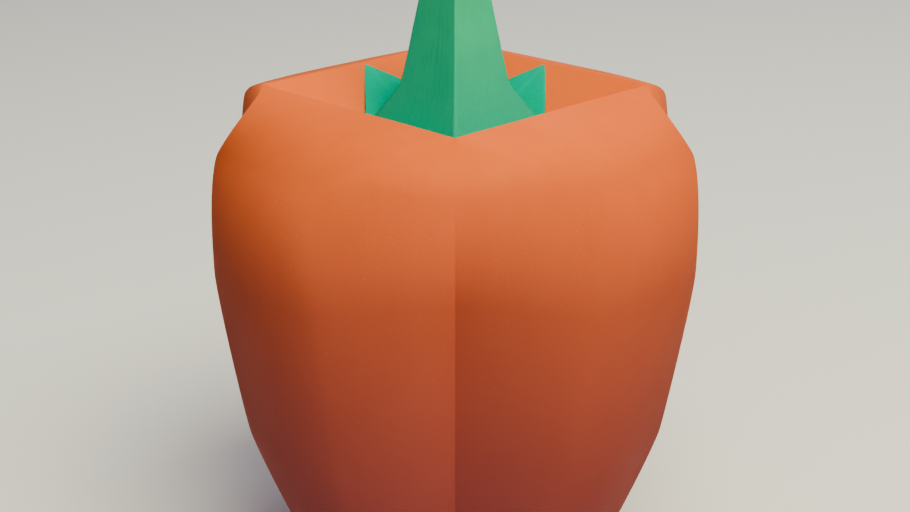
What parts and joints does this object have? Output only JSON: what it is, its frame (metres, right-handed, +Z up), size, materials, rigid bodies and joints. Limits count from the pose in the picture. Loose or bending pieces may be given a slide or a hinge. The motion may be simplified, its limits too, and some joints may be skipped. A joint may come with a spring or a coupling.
{
  "type": "bell pepper",
  "caption": "Blocky orange bell pepper with lobes that meet in sharp grooves, standing on its feet, with a green calyx in a square recess at the top and a tapering four-edged stem.",
  "frame": {"origin": "on the surface that the pepper stands on, below the middle of the fruit", "axes": "+Z up along the stem, the grooves between the lobes on the X and Y axes"},
  "size_m": [0.0828, 0.0828, 0.116],
  "materials": {
    "skin": "waxy orange pepper skin, satin",
    "calyx": "matt green sepals",
    "stem": "matt green stalk with fine ribs"
  },
  "bodies": {
    "root": {"fruit": "skin", "calyx": "calyx", "stem": "stem"}
  },
  "joints": []
}
